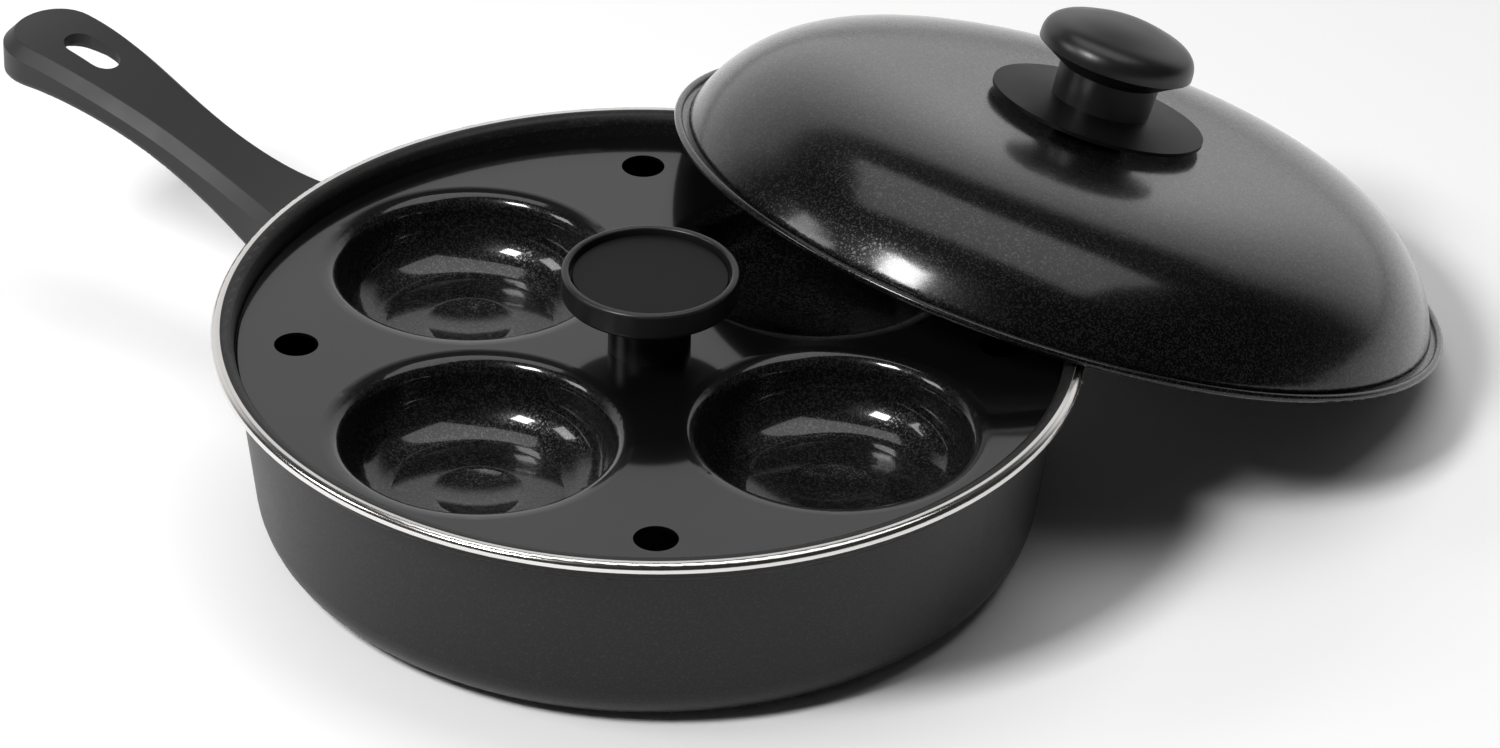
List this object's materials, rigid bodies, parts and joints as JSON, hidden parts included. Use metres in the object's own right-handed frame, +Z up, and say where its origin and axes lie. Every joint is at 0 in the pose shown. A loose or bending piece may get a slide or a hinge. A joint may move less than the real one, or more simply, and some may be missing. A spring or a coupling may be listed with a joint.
{
  "type": "egg poacher pan",
  "caption": "Shallow lidded pan with a long handle and a lift-out tray of round egg cups, for poaching eggs over steam.",
  "frame": {"origin": "centre of the pan's flat base, on the surface that it stands on", "axes": "+Z up out of the base, the handle runs along -X, the lid leans on the +Y side"},
  "size_m": [0.3809, 0.3722, 0.1023],
  "materials": {
    "coated_pan": "satin",
    "coated_tray": "gloss",
    "coated_lid": "gloss",
    "black_grip": "satin",
    "black_knob": "satin",
    "black_inlay": "matte",
    "brass_insert": "machined",
    "plain_steel": "plain"
  },
  "bodies": {
    "pan": {"pan_body": "coated_pan", "handle_bracket": "plain_steel", "bracket_rivets": "plain_steel", "handle_grip": "black_grip", "handle_screw": "plain_steel"},
    "tray": {"poacher_tray": "coated_tray", "tray_knob": "black_knob", "tray_knob_inlay": "black_inlay", "tray_knob_insert": "brass_insert", "tray_knob_washer": "plain_steel", "tray_knob_screw": "plain_steel"},
    "lid": {"lid_shell": "coated_lid", "lid_heat_guard": "black_knob", "lid_knob": "black_knob", "lid_knob_insert": "brass_insert", "lid_knob_washer": "plain_steel", "lid_knob_screw": "plain_steel"}
  },
  "joints": [
    {"name": "tray_lift", "type": "slide", "parent": "pan", "child": "tray", "axis": [0, 0, 1], "range_m": [0, 0.08]},
    {"name": "lid_lift", "type": "slide", "parent": "tray", "child": "lid", "axis": [0, 0, 1], "range_m": [0, 0.15]}
  ]
}
